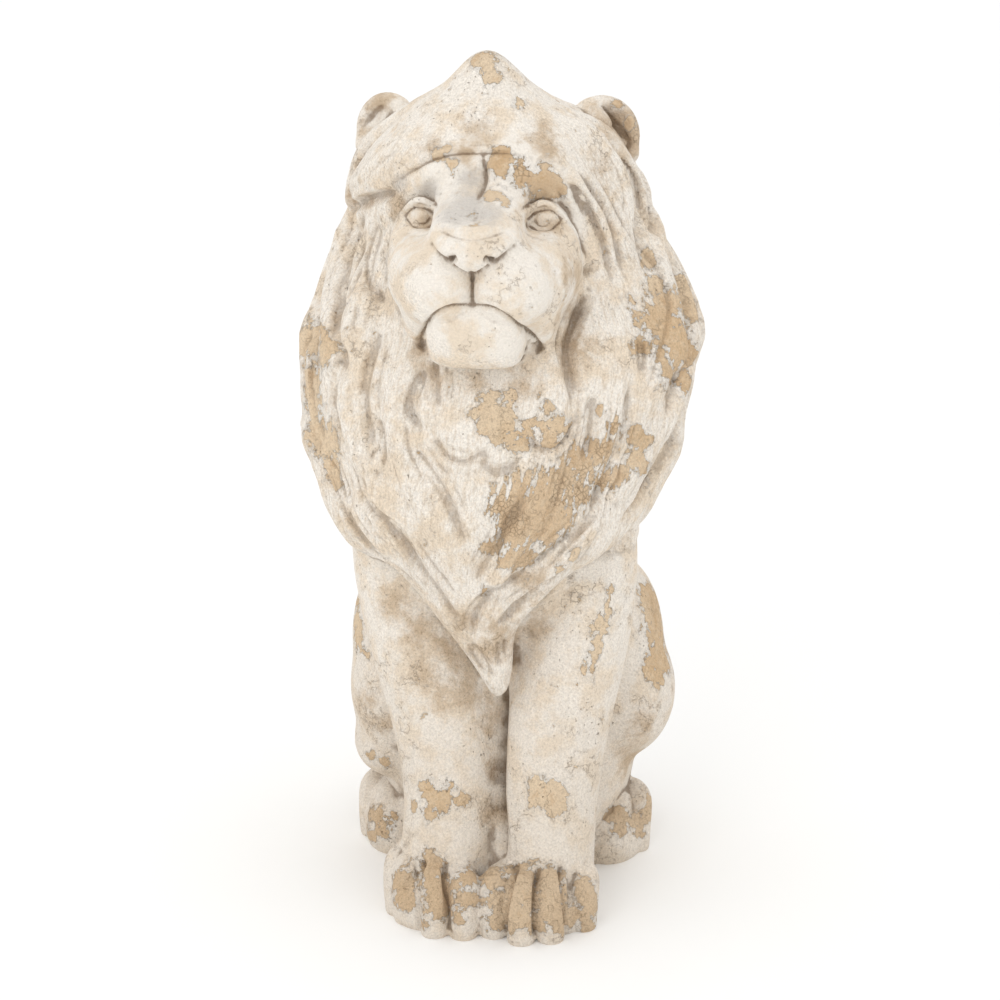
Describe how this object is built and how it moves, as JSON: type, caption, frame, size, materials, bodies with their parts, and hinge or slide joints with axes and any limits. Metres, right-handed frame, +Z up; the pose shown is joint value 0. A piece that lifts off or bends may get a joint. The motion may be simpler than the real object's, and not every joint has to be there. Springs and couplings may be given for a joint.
{
  "type": "lion statue",
  "caption": "Seated lion statue with a raised crest, full mane running to a point on the chest, and straight forelegs.",
  "frame": {"origin": "centre of the footprint's bounding box, on the flat underside", "axes": "+Z up, the lion faces -Y, +X is on the right of a viewer who faces the lion"},
  "size_m": [0.3378, 0.3724, 0.72],
  "materials": {
    "ceramic": "chalky cream coat over tan fired clay, matte"
  },
  "bodies": {
    "root": {"lion_statue": "ceramic"}
  },
  "joints": []
}
